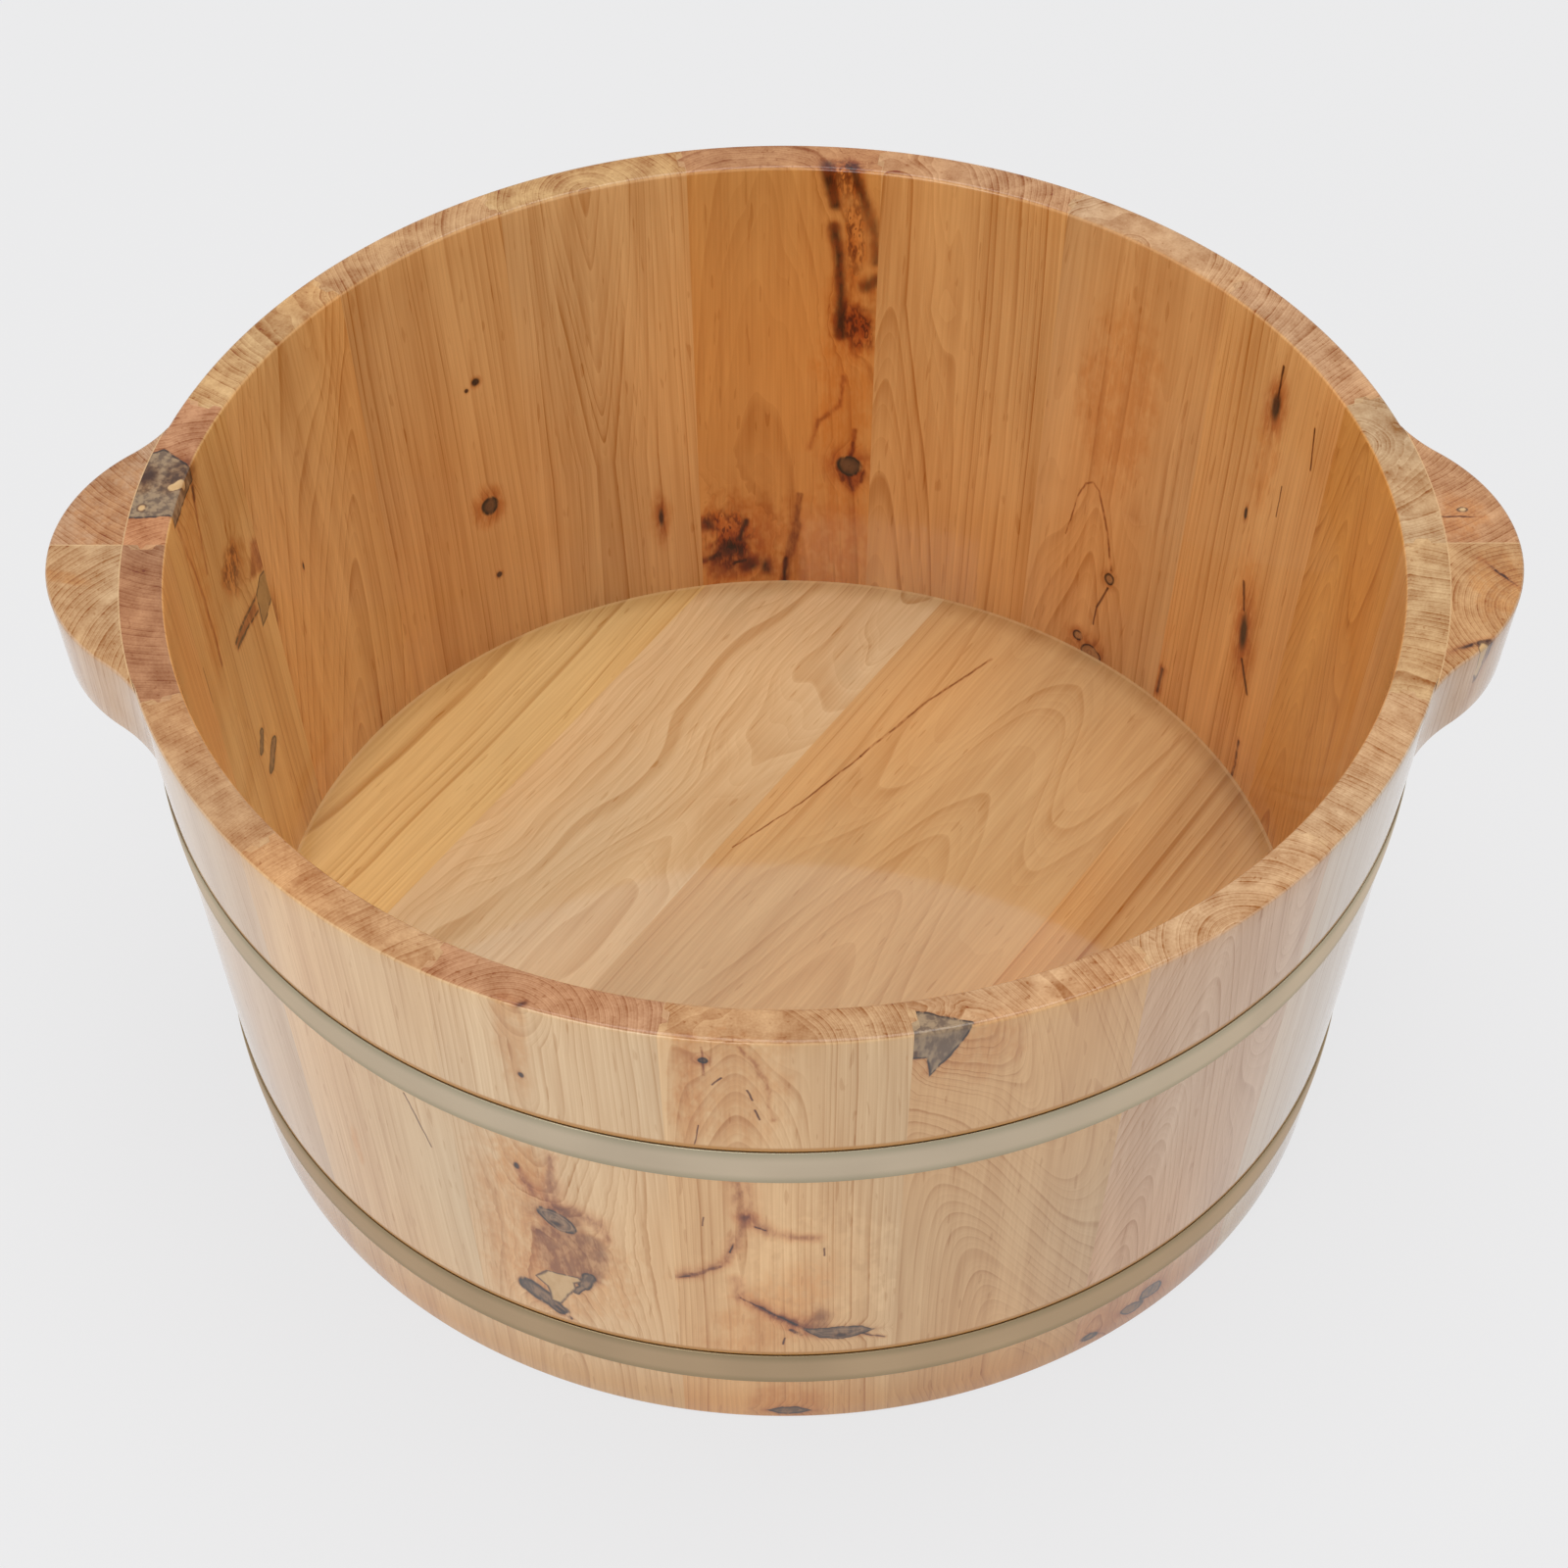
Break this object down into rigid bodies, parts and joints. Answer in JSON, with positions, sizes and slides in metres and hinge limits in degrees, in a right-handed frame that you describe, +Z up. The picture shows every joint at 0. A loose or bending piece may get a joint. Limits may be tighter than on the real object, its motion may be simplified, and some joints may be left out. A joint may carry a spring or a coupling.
{
  "type": "wooden foot bath bucket",
  "caption": "Low round wooden tub for soaking feet, of tapered staves held by two flat steel hoops, with a board floor and a rounded ear on each side to carry it by.",
  "frame": {"origin": "centre of the base, at the height of the foot ring that stands on the ground", "axes": "+Z up along the tub's axis, +X through the two ears, and the side that faces the viewer in the picture is -Y"},
  "size_m": [0.4456, 0.3998, 0.2],
  "materials": {
    "stave_wood": "solid wood under clear gloss lacquer, grain upright",
    "floor_wood": "solid wood under clear gloss lacquer, grain along the boards",
    "ear_wood": "solid wood under clear gloss lacquer, end grain on top",
    "hoop_steel": "satin flat strip with a faint warm tint"
  },
  "bodies": {
    "root": {"stave_01": "stave_wood", "stave_02": "stave_wood", "stave_03": "stave_wood", "stave_04": "stave_wood", "stave_05": "stave_wood", "stave_06": "stave_wood", "stave_07": "stave_wood", "stave_08": "stave_wood", "stave_09": "stave_wood", "stave_10": "stave_wood", "stave_11": "stave_wood", "stave_12": "stave_wood", "stave_13": "stave_wood", "stave_14": "stave_wood", "stave_15": "stave_wood", "stave_16": "stave_wood", "stave_17": "stave_wood", "stave_18": "stave_wood", "floor_board_1": "floor_wood", "floor_board_2": "floor_wood", "floor_board_3": "floor_wood", "floor_board_4": "floor_wood", "left_ear_front": "ear_wood", "left_ear_back": "ear_wood", "right_ear_front": "ear_wood", "right_ear_back": "ear_wood", "upper_hoop": "hoop_steel", "lower_hoop": "hoop_steel"}
  },
  "joints": []
}
